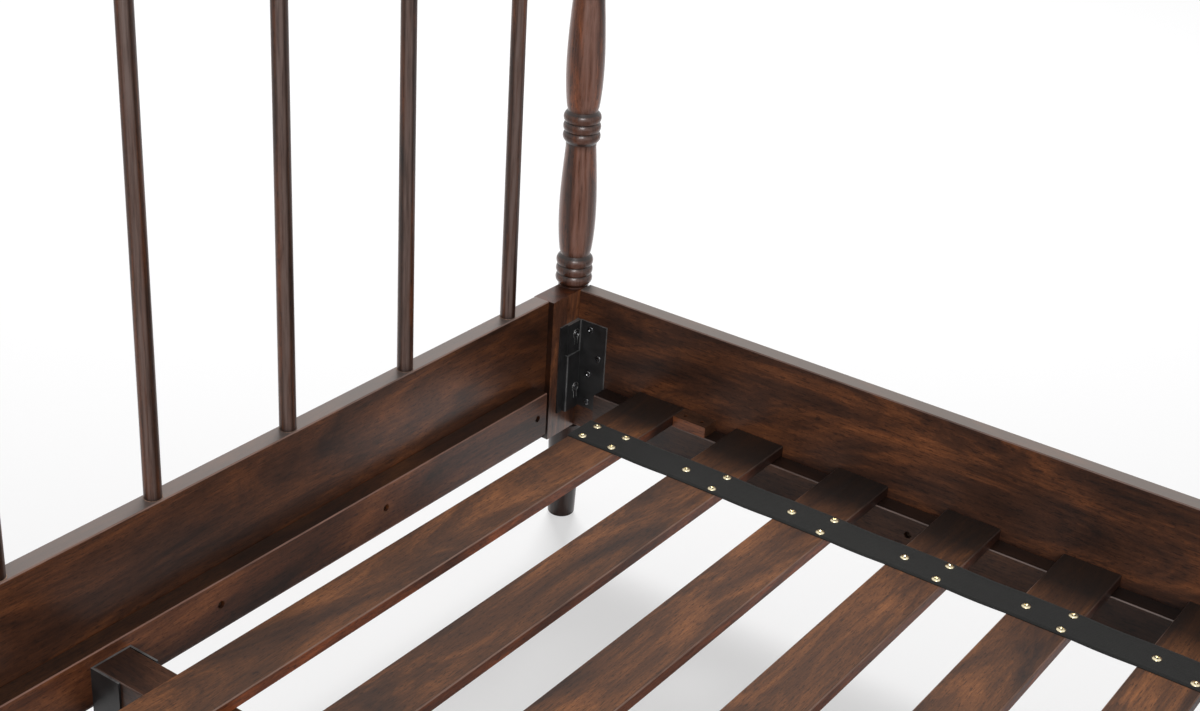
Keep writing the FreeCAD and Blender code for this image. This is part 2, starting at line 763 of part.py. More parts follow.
for end_name, end in ENDS:
    for side_name, side in SIDES:
        corner = f"{end_name}_{side_name}"

        label = f"keeper_{corner}"
        fitting_z = (fitting_low, fitting_top)
        pocket_z = (fitting_low, fitting_low + d.pocket_height)
        floor_z = (fitting_low, fitting_low + d.steel)
        web_span = signed(side, web_x - d.steel, web_x)
        wall_span = signed(side, web_x - d.steel, wall_end)
        pieces = [
            box(
                label + "_plate",
                signed(side, keeper_x - d.keeper_width, keeper_x),
                off_block(end, ZERO, d.steel),
                fitting_z,
            ),
            box(label + "_web", web_span, off_block(end, ZERO, wall_front), pocket_z),
            box(label + "_wall", wall_span, off_block(end, wall_back, wall_front), pocket_z),
            box(label + "_floor", wall_span, off_block(end, ZERO, wall_front), floor_z),
        ]
        keeper = fuse(label + "_blank", pieces)
        wall_y = (block_face - wall_front) * end
        folded = bent(label + "_bent", keeper, [((web_x - d.steel) * side, wall_y, d.bend)])
        run = wall_front + d.steel_gap
        low_y, high_y = off_block(end, ZERO, run)
        holes = [
            hole(
                f"{label}_hole_{i + 1}",
                HOLE_SIDES,
                d.screw_hole,
                run,
                tongue_screw_x * side,
                low_y,
                z,
                Y_WARD,
            )
            for i, z in enumerate(tongue_screw_z)
        ]
        finish(cut(label, folded, holes), label)

        label = f"rail_bracket_{corner}"
        flange_span = signed(side, rail_face - d.steel, rail_face)
        flange = box(
            label + "_flange", flange_span, off_block(end, tongue_back, d.flange_reach), fitting_z
        )
        tongue = box(
            label + "_tongue",
            signed(side, rail_face - d.tongue_reach, rail_face),
            off_block(end, tongue_back, tongue_front),
            (fitting_low + d.steel + d.steel_gap, fitting_top),
        )
        blank = fuse(label + "_blank", [flange, tongue])
        outer = (rail_face * side, (block_face - tongue_back) * end, d.bend + d.steel)
        inner = ((rail_face - d.steel) * side, (block_face - tongue_front) * end, d.bend)
        folded = bent(label + "_bent", blank, [outer, inner])
        holes = [
            hole(
                f"{label}_flange_hole_{i + 1}",
                HOLE_SIDES,
                d.screw_hole,
                d.steel,
                flange_span[0],
                (block_face - reach) * end,
                z,
                X_WARD,
            )
            for i, (reach, z) in enumerate(flange_screws)
        ]
        tongue_low, tongue_high = off_block(end, tongue_back, tongue_front)
        holes += [
            hole(
                f"{label}_tongue_hole_{i + 1}",
                HOLE_SIDES,
                d.screw_hole,
                d.steel,
                tongue_screw_x * side,
                tongue_low,
                z,
                Y_WARD,
            )
            for i, z in enumerate(tongue_screw_z)
        ]
        finish(cut(label, folded, holes), label)

        for i, (reach, z) in enumerate(flange_screws):
            steel_screw(
                f"flange_screw_{corner}_{i + 1}",
                (rail_face - d.steel) * side,
                (block_face - reach) * end,
                z,
                True,
                side,
            )
        for i, (front, z) in enumerate(zip((tongue_front, wall_front), tongue_screw_z)):
            steel_screw(
                f"tongue_screw_{corner}_{i + 1}",
                tongue_screw_x * side,
                (block_face - front) * end,
                z,
                False,
                end,
            )
finish(group("bracket_screws_group", screws), "bracket_screws")

# ---- centre beam from cleat to cleat, in steel hangers, on two legs ----
cleat_face = board_face - d.cleat_thick
beam_low = ledger_top - d.beam_height
half_beam = d.beam_width / 2
beam_end = cleat_face - d.steel - d.steel_gap
beam = eased_bar("centre_beam_bar", beam_end * 2, d.beam_width, d.beam_height)
place(beam, half_beam, -beam_end, beam_low, ALONG_Y)
finish(beam, "centre_beam")

hangers = []
for end_name, end in ENDS:
    inner_x = half_beam + d.steel_gap
    outer_x = inner_x + d.steel
    seat_y = signed(end, cleat_face - d.hanger_seat, cleat_face)
    outside = box(
        f"hanger_{end_name}_outside",
        (-outer_x, outer_x),
        seat_y,
        (beam_low - d.steel - d.steel_gap, ledger_top),
    )
    inside = box(
        f"hanger_{end_name}_inside",
        (-inner_x, inner_x),
        signed(end, cleat_face - d.hanger_seat, cleat_face - d.steel),
        (beam_low - d.steel_gap, ledger_top),
    )
    hangers.append(cut(f"hanger_{end_name}", outside, [inside]))
finish(group("beam_hangers_group", hangers), "beam_hangers")

half_leg = d.leg_width / 2
bore_depth = d.pad_height + d.stud_length + d.stud_travel + d.stud_headroom - d.leg_lift
for i, side in enumerate((-1, 1)):
    y = d.leg_reach * side
    label = f"centre_leg_{i + 1}"
    leg = box(
        label + "_bar", (-half_leg, half_leg), (y - half_leg, y + half_leg), (d.leg_lift, beam_low)
    )
    bore = rod(
        label + "_bore", d.stud_radius + d.stud_play, bore_depth, ZERO, y, d.leg_lift
    )
    finish(cut(label, leg, [bore]), label)

    label = f"levelling_foot_{i + 1}"
    disc = peg(label + "_pad", SOCKET_SIDES, d.pad_radius, d.pad_height, ZERO, y, ZERO)
    stud = rod(label + "_stud", d.stud_radius, d.pad_height + d.stud_length, ZERO, y, ZERO)
    finish(fuse(label, [disc, stud]), label)

# ---- every object is sound before its solids are written ----
doc.recompute()
for thing in doc.Objects:
    if "Invalid" in thing.State or "Error" in thing.State:
        raise RuntimeError(f"{thing.Name} did not build: {thing.State}")
for thing in finished:
    if thing.Shape.isNull() or not thing.Shape.isValid() or not thing.Shape.Solids:
        raise RuntimeError(f"{thing.Label} has no valid solid")

os.makedirs("parts", exist_ok=True)
for thing in finished:
    thing.Shape.exportStep(f"parts/{thing.Label}.step")
print(len(finished), "parts written")
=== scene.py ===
import math

import bmesh
import bpy
from mathutils import Matrix, Vector


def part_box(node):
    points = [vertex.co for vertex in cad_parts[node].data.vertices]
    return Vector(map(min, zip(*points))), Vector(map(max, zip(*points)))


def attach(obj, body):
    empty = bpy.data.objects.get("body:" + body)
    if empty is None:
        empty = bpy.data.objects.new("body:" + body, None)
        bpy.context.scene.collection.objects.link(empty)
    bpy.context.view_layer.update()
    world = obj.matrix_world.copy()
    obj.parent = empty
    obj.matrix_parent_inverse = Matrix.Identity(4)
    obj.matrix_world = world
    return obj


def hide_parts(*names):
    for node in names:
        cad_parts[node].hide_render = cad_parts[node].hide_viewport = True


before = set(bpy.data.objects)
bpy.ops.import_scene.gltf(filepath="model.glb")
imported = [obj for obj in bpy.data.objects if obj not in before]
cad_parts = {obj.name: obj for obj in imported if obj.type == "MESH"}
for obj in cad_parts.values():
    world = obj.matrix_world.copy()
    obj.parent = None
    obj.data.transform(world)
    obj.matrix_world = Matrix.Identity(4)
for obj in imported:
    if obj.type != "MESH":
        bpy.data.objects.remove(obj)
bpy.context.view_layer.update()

scene = bpy.context.scene
scene.view_settings.view_transform = "Standard"


# ---- Camera ----
# A short telephoto look over the slats into the head corner, from above the left rail,
# tipped slightly so that the right side of the picture sits higher.
camera_place = Vector((-0.9626, -0.2024, 1.3160))
camera_turn = math.radians(55.81)
camera_dip = math.radians(26.50)
camera_tip = math.radians(3.67)
camera_lens = 55.39

forward = Vector((
    math.sin(camera_turn) * math.cos(camera_dip),
    math.cos(camera_turn) * math.cos(camera_dip),
    -math.sin(camera_dip),
))
level_right = forward.cross(Vector((0, 0, 1))).normalized()
level_up = level_right.cross(forward)
camera_right = level_right * math.cos(camera_tip) + level_up * math.sin(camera_tip)
camera_up = camera_right.cross(forward)
camera_data = bpy.data.cameras.new("corner_camera")
camera_data.lens = camera_lens
camera_data.sensor_width = 36
camera_data.clip_start = 0.05
camera_data.clip_end = 200
camera = bpy.data.objects.new("corner_camera", camera_data)
scene.collection.objects.link(camera)
axes = Matrix((camera_right, camera_up, -forward)).transposed()
camera.matrix_world = Matrix.Translation(camera_place) @ axes.to_4x4()
scene.camera = camera


# ---- Studio: floor, white surround and softboxes ----
# A pale seamless floor under a white surround. A large softbox stands above and behind the head
# corner, a low one fills from the camera's side, and a third, above the camera, shows in gloss
# alone. To the camera the floor also glows: shadows stay pale, and the far floor is plain white.
floor_reach = 40
floor_drop = 0.0005
floor_colour = (0.95, 0.95, 0.955, 1)
floor_lift = 0.55
floor_near = 2.6
floor_far = 6.0
surround_light = 0.34

world = bpy.data.worlds.new("studio")
scene.world = world
world.use_nodes = True
nodes, links = world.node_tree.nodes, world.node_tree.links
nodes.clear()
path = nodes.new("ShaderNodeLightPath")
seen, seen_through = nodes.new("ShaderNodeMath"), nodes.new("ShaderNodeMath")
seen.operation = seen_through.operation = "MAXIMUM"
plain, white = nodes.new("ShaderNodeBackground"), nodes.new("ShaderNodeBackground")
for backing, strength in ((plain, surround_light), (white, 1)):
    backing.inputs["Color"].default_value = (1, 1, 1, 1)
    backing.inputs["Strength"].default_value = strength
either = nodes.new("ShaderNodeMixShader")
sky = nodes.new("ShaderNodeOutputWorld")
links.new(path.outputs["Is Camera Ray"], seen.inputs[0])
links.new(path.outputs["Is Glossy Ray"], seen.inputs[1])
links.new(seen.outputs[0], seen_through.inputs[0])
links.new(path.outputs["Is Transmission Ray"], seen_through.inputs[1])
links.new(seen_through.outputs[0], either.inputs["Fac"])
links.new(plain.outputs[0], either.inputs[1])
links.new(white.outputs[0], either.inputs[2])
links.new(either.outputs[0], sky.inputs["Surface"])

floor_mesh = bpy.data.meshes.new("studio_floor")
floor_mesh.from_pydata(
    [(x * floor_reach, y * floor_reach, 0) for x, y in ((-1, -1), (1, -1), (1, 1), (-1, 1))],
    [],
    [(0, 1, 2, 3)],
)
floor = bpy.data.objects.new("studio_floor", floor_mesh)
floor.location.z = -floor_drop
scene.collection.objects.link(floor)
floor_paint = bpy.data.materials.new("studio_floor")
floor_paint.use_nodes = True
nodes, links = floor_paint.node_tree.nodes, floor_paint.node_tree.links
shell = nodes["Principled BSDF"]
shell.inputs["Base Color"].default_value = floor_colour
shell.inputs["Roughness"].default_value = 0.9
shell.inputs["Specular IOR Level"].default_value = 0.1
path = nodes.new("ShaderNodeLightPath")
spot = nodes.new("ShaderNodeTexCoord")
reach = nodes.new("ShaderNodeVectorMath")
reach.operation = "LENGTH"
lift = nodes.new("ShaderNodeMapRange")
lift.interpolation_type = "SMOOTHSTEP"
lift.inputs["From Min"].default_value = floor_near
lift.inputs["From Max"].default_value = floor_far
lift.inputs["To Min"].default_value = floor_lift
share = nodes.new("ShaderNodeMath")
share.operation = "MULTIPLY"
glow = nodes.new("ShaderNodeEmission")
lifted = nodes.new("ShaderNodeMixShader")
links.new(spot.outputs["Object"], reach.inputs[0])
links.new(reach.outputs["Value"], lift.inputs["Value"])
links.new(path.outputs["Is Camera Ray"], share.inputs[0])
links.new(lift.outputs["Result"], share.inputs[1])
links.new(share.outputs[0], lifted.inputs["Fac"])
links.new(shell.outputs[0], lifted.inputs[1])
links.new(glow.outputs[0], lifted.inputs[2])
links.new(lifted.outputs[0], nodes["Material Output"].inputs["Surface"])
floor_mesh.materials.append(floor_paint)

# The last lamp is the glint: it shows in gloss alone, and the others in all but gloss.
for name, place, aim, width, watts, glint in (
    ("corner_softbox", (3.0, 2.8, 3.5), (0.3, 0.5, 0.3), 1.6, 170, False),
    ("camera_side_softbox", (-3.1, -1.7, 1.3), (0.6, 0.9, 0.4), 1.8, 75, False),
    ("glint_softbox", (-1.20, -0.40, 2.5), (0.75, 1.0, 0.5), 1.0, 52, True),
):
    lamp = bpy.data.lights.new(name, "AREA")
    lamp.shape = "SQUARE"
    lamp.size = width
    lamp.energy = watts
    stand = bpy.data.objects.new(name, lamp)
    scene.collection.objects.link(stand)
    stand.location = place
    stand.rotation_euler = (Vector(aim) - Vector(place)).to_track_quat("-Z", "Y").to_euler()
    stand.visible_glossy = glint
    stand.visible_diffuse = not glint


# ---- Lower boards, top rail and side rails ----
# Planed planks of close-grained hardwood under a dark walnut stain, with a satin lacquer on the
# boards. Fine pores hold the stain nearly black. The eased edges are lighter, partly rubbed by
# sanding and partly a painted highlight, and the top faces carry a painted grey sheen.
board_tones = ((0.038, 0.0150, 0.0082), (0.126, 0.0455, 0.0190), (0.320, 0.1140, 0.0400))
board_roughness = 0.37
board_lacquer = 0.35
# Painted sheen: the boards' top faces are mixed towards a pale grey.
board_painted_sheen = (("up", "MIX", 0.70, (0.190, 0.160, 0.145)),)
rail_tones = ((0.025, 0.0105, 0.0068), (0.092, 0.0345, 0.0165), (0.290, 0.1020, 0.0370))
rail_roughness = 0.48
rail_lacquer = 0.0
# Painted sheen: the rails' top faces are mixed towards a pale grey.
rail_painted_sheen = (("up", "MIX", 0.75, (0.240, 0.210, 0.190)),)
figure_stops = (0.34, 0.50, 0.68)
# Eased edges are lightened, partly as stain rubbed through and partly as a painted highlight.
eased_edge = (0.2, 0.42)
edge_wear_and_highlight_lift = 1.4
edge_wear_and_highlight_haze = 0.09
square_on = (0.8, 0.95)
# Colour of the painted shadow towards the slats' ends, by the rails.
end_painted_shadow = (0.12, 0.12, 0.13)
end_painted_shadow_share = 0.95
stain_and_shade_tone = 0.22
wood_gloss = 0.42
lacquer_roughness = 0.24


class Finish:
    """A procedural material, built layer by layer on the object's own coordinates."""

    def __init__(self, name):
        self.material = bpy.data.materials.new(name)
        self.material.use_nodes = True
        self.nodes = self.material.node_tree.nodes
        self.links = self.material.node_tree.links
        self.shell = self.nodes["Principled BSDF"]
        self.place = self.nodes.new("ShaderNodeTexCoord")

    def cloud(self, scale, detail=3, rough=0.5, bend=0.0):
        """Noise whose (x, y, z) scale squeezes it into fibres, dashes or round clouds."""
        mapping = self.nodes.new("ShaderNodeMapping")
        mapping.inputs["Scale"].default_value = scale
        self.links.new(self.place.outputs["Object"], mapping.inputs["Vector"])
        field = self.nodes.new("ShaderNodeTexNoise")
        field.inputs["Scale"].default_value = 1
        field.inputs["Detail"].default_value = detail
        field.inputs["Roughness"].default_value = rough
        field.inputs["Distortion"].default_value = bend
        self.links.new(mapping.outputs["Vector"], field.inputs["Vector"])
        return field.outputs["Fac"]

    def ramp(self, value, stops):
        """Colours laid out along a value, each stop a (place, colour) pair."""
        table = self.nodes.new("ShaderNodeValToRGB")
        ends = table.color_ramp.elements
        ends[0].position, ends[1].position = stops[0][0], stops[-1][0]
        ends[0].color, ends[1].color = (*stops[0][1], 1), (*stops[-1][1], 1)
        for spot, colour in stops[1:-1]:
            ends.new(spot).color = (*colour, 1)
        self.links.new(value, table.inputs["Fac"])
        return table.outputs["Color"]

    def blend(self, kind, share, under, over):
        """One colour over another, by a share that is a number or another value."""
        coat = self.nodes.new("ShaderNodeMix")
        coat.data_type = "RGBA"
        coat.blend_type = kind
        if isinstance(share, float):
            coat.inputs["Factor"].default_value = share
        else:
            self.links.new(share, coat.inputs["Factor"])
        for colour, socket in zip((under, over), [s for s in coat.inputs if s.type == "RGBA"]):
            if isinstance(colour, tuple):
                socket.default_value = (*colour, 1)
            else:
                self.links.new(colour, socket)
        return [s for s in coat.outputs if s.type == "RGBA"][0]

    def maths(self, operation, *values):
        """One step of arithmetic on numbers or other values."""
        step = self.nodes.new("ShaderNodeMath")
        step.operation = operation
        for value, socket in zip(values, step.inputs):
            if isinstance(value, (int, float)):
                socket.default_value = value
            else:
                self.links.new(value, socket)
        return step.outputs[0]

    def span(self, value, low, high, start=0.0, stop=1.0):
        """A value between start and stop, mapped to low and high."""
        step = self.nodes.new("ShaderNodeMapRange")
        step.inputs["From Min"].default_value = start
        step.inputs["From Max"].default_value = stop
        step.inputs["To Min"].default_value = low
        step.inputs["To Max"].default_value = high
        self.links.new(value, step.inputs["Value"])
        return step.outputs["Result"]

    def parts(self, output):
        """The x, y and z of the object's coordinates or of its normal."""
        split = self.nodes.new("ShaderNodeSeparateXYZ")
        self.links.new(self.place.outputs[output], split.inputs[0])
        return split.outputs

    def relief(self, *layers):
        """Bumps laid over each other, each from a (height, strength, distance)."""
        normal = None
        for height, strength, distance in layers:
            bump = self.nodes.new("ShaderNodeBump")
            bump.inputs["Strength"].default_value = strength
            bump.inputs["Distance"].default_value = distance
            self.links.new(height, bump.inputs["Height"])
            if normal:
                self.links.new(normal, bump.inputs["Normal"])
            normal = bump.outputs["Normal"]
        self.links.new(normal, self.shell.inputs["Normal"])

    def set(self, name, source):
        """Sets a socket of the shader: a number or colour directly, or else from a node."""
        if isinstance(source, (int, float, tuple)):
            self.shell.inputs[name].default_value = source
        else:
            self.links.new(source, self.shell.inputs[name])


def hardwood(
    name, grain, tones, roughness, lacquer, faces=(), painted_shadow_ends=None, stain_and_shade_runs=False, closeness=1
):
    """Stained wood with its grain along an axis, from a dark, a middle and a warm tone.

    Each entry of faces names an axis, or "up", and how the faces square to it are tinted: a blend,
    its share and a colour; these tints are painted light and shade. Eased edges are lightened,
    partly as rubbed stain and partly as a painted highlight. Painted shadow ends are two distances
    from mid-bed, along the grain, between which a painted shadow deepens. Closeness narrows the
    figure.
    """
    wood = Finish(name)
    axis = "xyz".index(grain)

    def fibre(across, along, detail, rough=0.5, bend=0.0):
        scale = [across] * 3
        scale[axis] = along
        return wood.cloud(scale, detail, rough, bend)

    figure = fibre(15 * closeness, 3.4, 6, 0.68, 1.1)
    patches = fibre(8 * closeness, 2.4, 4, 0.6, 0.5)
    ribbon = fibre(6, 24, 3, 0.6)
    fibres = fibre(330, 14, 5, 0.65)
    pores = fibre(620, 95, 3, 0.55)
    speckle = fibre(520, 380, 2, 0.6)

    colour = wood.ramp(figure, list(zip(figure_stops, tones)))
    for share, field, stops in (
        (0.70, patches, [(0.34, (0.40, 0.39, 0.40)), (0.62, (1.12, 1.10, 1.05))]),
        (0.45, ribbon, [(0.36, (0.72, 0.70, 0.70)), (0.64, (1.12, 1.10, 1.06))]),
        (0.80, fibres, [(0.34, (0.52, 0.49, 0.48)), (0.66, (1.18, 1.16, 1.12))]),
        (0.75, pores, [(0.36, (0.22, 0.20, 0.20)), (0.43, (1.0, 1.0, 1.0))]),
        (0.60, speckle, [(0.30, (0.66, 0.64, 0.64)), (0.70, (1.15, 1.14, 1.12))]),
    ):
        colour = wood.blend("MULTIPLY", share, colour, wood.ramp(field, stops))
    sides = [s for s in range(3) if s != axis]
    normal = wood.parts("Normal")
    edge = wood.maths("ABSOLUTE", wood.maths("MULTIPLY", normal[sides[0]], normal[sides[1]]))
    uneven = wood.span(fibres, 0.2, 1.0, 0.3, 0.6)
    # Lighter eased edges: partly rubbed stain, partly a painted highlight along the chamfers.
    rubbed = wood.maths("MULTIPLY", wood.span(edge, 0.0, 1.0, *eased_edge), uneven)
    worn = tuple(edge_wear_and_highlight_lift * c + edge_wear_and_highlight_haze for c in tones[1])
    colour = wood.blend("MIX", rubbed, colour, worn)
    # Painted light and shade: each face tint lightens, greys or darkens faces by which way they
    # face.
    for square, kind, share, tint in faces:
        if square == "up":
            facing = normal[2]
        else:
            facing = wood.maths("ABSOLUTE", normal["xyz".index(square)])
        colour = wood.blend(kind, wood.span(facing, 0.0, share, *square_on), colour, tint)
    # Painted shadow: the colour darkens between two distances out along the grain.
    if painted_shadow_ends:
        out = wood.maths("ABSOLUTE", wood.parts("Object")[axis])
        deeper = wood.span(out, 0.0, end_painted_shadow_share, *painted_shadow_ends)
        colour = wood.blend("MULTIPLY", deeper, colour, end_painted_shadow)
    # Darkening read from the mesh: stain and painted shade in grooves, painted shade at post feet.
    if stain_and_shade_runs:
        stain_and_shade = wood.nodes.new("ShaderNodeAttribute")
        stain_and_shade.attribute_name = "stain_and_shade"
        dark = tuple(stain_and_shade_tone * c for c in tones[0])
        colour = wood.blend("MIX", stain_and_shade.outputs["Fac"], colour, dark)
    wood.set("Base Color", colour)
    wood.set("Roughness", wood.span(fibres, roughness - 0.05, roughness + 0.10))
    wood.set("Specular IOR Level", wood_gloss)
    wood.set("Coat Weight", lacquer)
    wood.set("Coat Roughness", lacquer_roughness)
    wood.relief((fibres, 0.20, 0.0004), (pores, 0.30, 0.0003))
    return wood.material


def finish_node(node, coat):
    """Puts a finish on a part that is carried over as it is."""
    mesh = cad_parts[node].data
    mesh.materials.clear()
    mesh.materials.append(coat)


board_wood = hardwood(
    "board_hardwood", "x", board_tones, board_roughness, board_lacquer, board_painted_sheen
)
for node in ("headboard_lower_board", "footboard", "headboard_top_rail"):
    finish_node(node, board_wood)

rail_wood = hardwood("rail_hardwood", "y", rail_tones, rail_roughness, rail_lacquer, rail_painted_sheen)
for node in ("side_rail_left", "side_rail_right"):
    finish_node(node, rail_wood)


# ---- Turned posts ----
# Each post is turned from one length of hardwood: a tapered foot, a plain round where the boards
# join, then ring groups of three beads with swelling vases between them, and a ball on top. The
# grooves are darkened partly by stain and partly as painted shade, and the tapered foot is
# darkened as painted shade. The foot posts stop just above their board in a rounded cap.
post_tones = ((0.034, 0.0120, 0.0065), (0.130, 0.0385, 0.0145), (0.400, 0.1120, 0.0280))
post_roughness = 0.27
post_lacquer = 0.25
post_closeness = 2.6
post_sides = 96
neck = 0.0194
neck_chamfer = 0.0015
foot_tip = 0.018
foot_shoulder = 0.0229
foot_round = 0.0035
# The foot is darkened as painted shade.
foot_painted_shade = 0.85
bead_crest = 0.0235
bead_groove = 0.0210
bead_pitch = 0.012
bead_stain = 0.45
bead_steps = 14
# Groove darkening is partly stain and partly painted shade.
groove_stain_and_shade = 0.95
ring_end = 0.0098
ring_foot = 0.0192
ring_foot_stain = 0.5
ring_top = 0.0188
ring_top_stain = 0.45
ring_lip = 0.0012
lip_stain = 0.8
belly = 0.0236
belly_low = 0.756
vase_height = 0.147
vase_steps = 40
vase_stain = 0.35
vase_fade = 0.1
vases = 3
finial_neck = 0.012
finial_cove = 0.006
finial_ball = 0.0205
finial_stain = 0.6
top_rail_height = 0.130
turned_crease = 32
turned_weld = 1e-7


def around(sides):
    """Angles of evenly spaced sides, all the way round."""
    return [2 * math.pi * i / sides for i in range(sides)]


def middle(low, high):
    """Centre of a box, seen from above."""
    return (low.x + high.x) / 2, (low.y + high.y) / 2


def sweep(centre, radius, start, stop, steps):
    """Points of an arc in the outline plane, from one angle to another in degrees."""
    angles = [math.radians(start + (stop - start) * i / steps) for i in range(steps + 1)]
    return [(centre[0] + radius * math.cos(a), centre[1] + radius * math.sin(a)) for a in angles]


def turn(name, outline, x, y, sides, coat, body="frame"):
    """Turns an outline about an upright axis into a smooth piece.

    Points are (radius, height), or (radius, height, share) where stain and painted shade darken
    it.
    """
    shape = bmesh.new()
    stain_and_shade = shape.verts.layers.float.new("stain_and_shade")
    rows = []
    for radius, z, *share in outline:
        row = []
        for a in around(sides if radius else 1):
            vertex = shape.verts.new((x + radius * math.cos(a), y + radius * math.sin(a), z))
            vertex[stain_and_shade] = share[0] if share else 0.0
            row.append(vertex)
        rows.append(row)
    for low, high in zip(rows, rows[1:]):
        for i in range(sides):
            j = (i + 1) % sides
            if len(low) == 1:
                shape.faces.new((low[0], high[j], high[i]))
            elif len(high) == 1:
                shape.faces.new((low[i], low[j], high[0]))
            else:
                shape.faces.new((low[i], low[j], high[j], high[i]))
    bmesh.ops.remove_doubles(shape, verts=shape.verts, dist=turned_weld)
    return place_mesh(name, shape, coat, body, turned_crease)


def place_mesh(name, shape, coat, body, crease):
    """Makes a piece of a finished mesh: smooth but for its creases, dressed, riding on a body."""
    for face in shape.faces:
        face.smooth = True
    for edge in shape.edges:
        edge.smooth = edge.calc_face_angle(0) < math.radians(crease)
    mesh = bpy.data.meshes.new(name)
    shape.to_mesh(mesh)
    shape.free()
    mesh.materials.append(coat)
    piece = bpy.data.objects.new(name, mesh)
    scene.collection.objects.link(piece)
    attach(piece, body)
    return piece


def beads(z):
    """Outline of a ring group that starts at a height: three round beads with tight grooves."""
    half = bead_pitch / 2
    rise = bead_crest - bead_groove
    arc = (half * half + rise * rise) / (2 * rise)
    lean = math.degrees(math.asin(half / arc))
    points = [(ring_foot, z, ring_foot_stain), (ring_foot, z + ring_lip, lip_stain)]
    for bead in range(3):
        crest = z + ring_end + bead_pitch * bead
        for radius, height in sweep((bead_crest - arc, crest), arc, -lean, lean, bead_steps):
            depth = (bead_crest - radius) / rise
            stain = bead_stain + (groove_stain_and_shade - bead_stain) * depth ** 2
            points.append((radius, height, stain))
    top = z + 2 * ring_end + 2 * bead_pitch
    return points + [(ring_top, top - ring_lip, lip_stain), (ring_top, top, ring_top_stain)]


def vase(z):
    """Outline of a vase that starts at a height: a long swell, fullest below its middle."""
    points = []
    for i in range(1, vase_steps):
        t = i / vase_steps
        end = ring_foot + (ring_top - ring_foot) * t
        swell = (belly - ring_foot) * math.sin(math.pi * t ** belly_low)
        stain = vase_stain * max(0, abs(2 * t - 1) - (1 - vase_fade)) / vase_fade
        points.append((end + swell, z + vase_height * t, stain))
    return points


post_wood = hardwood(
    "turned_hardwood",
    "z",
    post_tones,
    post_roughness,
    post_lacquer,
    stain_and_shade_runs=True,
    closeness=post_closeness,
)
rail_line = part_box("side_rail_left")[1].z
board_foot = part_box("side_rail_left")[0].z
ring_height = 2 * ring_end + 2 * bead_pitch
for side in ("left", "right"):
    low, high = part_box(f"head_post_{side}")
    foot = [(0, 0), (foot_tip - foot_round, 0, foot_painted_shade)]
    tip = sweep((foot_tip - foot_round, foot_round), foot_round, start=-80, stop=0, steps=6)
    foot += [(*point, foot_painted_shade) for point in tip]
    foot += [(foot_shoulder, board_foot - foot_round, foot_painted_shade), (neck, board_foot, foot_painted_shade)]
    z = rail_line
    outline = foot + [(neck, z)] + beads(z)
    z += ring_height
    for _ in range(vases):
        outline += vase(z)
        z += vase_height
        outline += beads(z)
        z += ring_height
    top = z + top_rail_height
    outline += [(neck, z), (neck, top - neck_chamfer), (neck - neck_chamfer, top)]
    outline += [(finial_neck, top, finial_stain), (finial_neck, top + finial_cove, finial_stain)]
    dip = math.degrees(math.acos(finial_neck / finial_ball))
    ball = top + finial_cove + finial_ball * math.sin(math.radians(dip))
    outline += sweep((0, ball), finial_ball, start=-dip, stop=88, steps=30)[1:]
    outline += [(0, ball + finial_ball)]
    x, y = middle(low, high)
    post = turn(f"head_post_{side}_turned", outline, x, y, post_sides, post_wood)
    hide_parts(f"head_post_{side}")

    low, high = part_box(f"foot_post_{side}")
    cap = high.z
    outline = foot + [(neck, cap - foot_round)]
    corner = (neck - foot_round, cap - foot_round)
    outline += sweep(corner, foot_round, start=0, stop=88, steps=6) + [(0, cap)]
    x, y = middle(low, high)
    post = turn(f"foot_post_{side}_turned", outline, x, y, post_sides, post_wood)
    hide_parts(f"foot_post_{side}")


# ---- Joint blocks ----
# A block with upright grain is coped round each post and glued to it. It carries the board's
# tenon, and its planed face takes the steel keeper.
# Painted shade darkens the faces across x; painted light and sheen lighten the faces across y.
block_painted_light_and_shade = (("x", "MULTIPLY", 1, (0.28, 0.32, 0.36)), ("y", "MULTIPLY", 1, (1.7, 2.35, 3.4)))
block_roughness = 0.36
block_lacquer = 0.5
block_wood = hardwood(
    "block_hardwood", "z", post_tones, block_roughness, block_lacquer, block_painted_light_and_shade
)
for end in ("head", "foot"):
    for side in ("left", "right"):
        finish_node(f"{end}_block_{side}", block_wood)


# ---- Spindles ----
# Slim hardwood rods taper a little towards the top and stand in sockets drilled in the lower
# board and the top rail. Each rod is darker towards its base, and where it enters the board a thin
# ring of light wood round it is a painted highlight.
spindle_base = 0.00935
spindle_tip = 0.00860
spindle_sides = 48
spindle_tones = ((0.020, 0.0090, 0.0055), (0.062, 0.0235, 0.0115), (0.210, 0.0660, 0.0220))
# The light ring at each spindle's foot is a painted highlight.
highlight_ring_tones = ((0.15, 0.08, 0.05), (0.26, 0.15, 0.10), (0.40, 0.25, 0.17))
spindle_roughness = 0.36
spindle_lacquer = 0.05
spindle_closeness = 4
spindle_count = 8
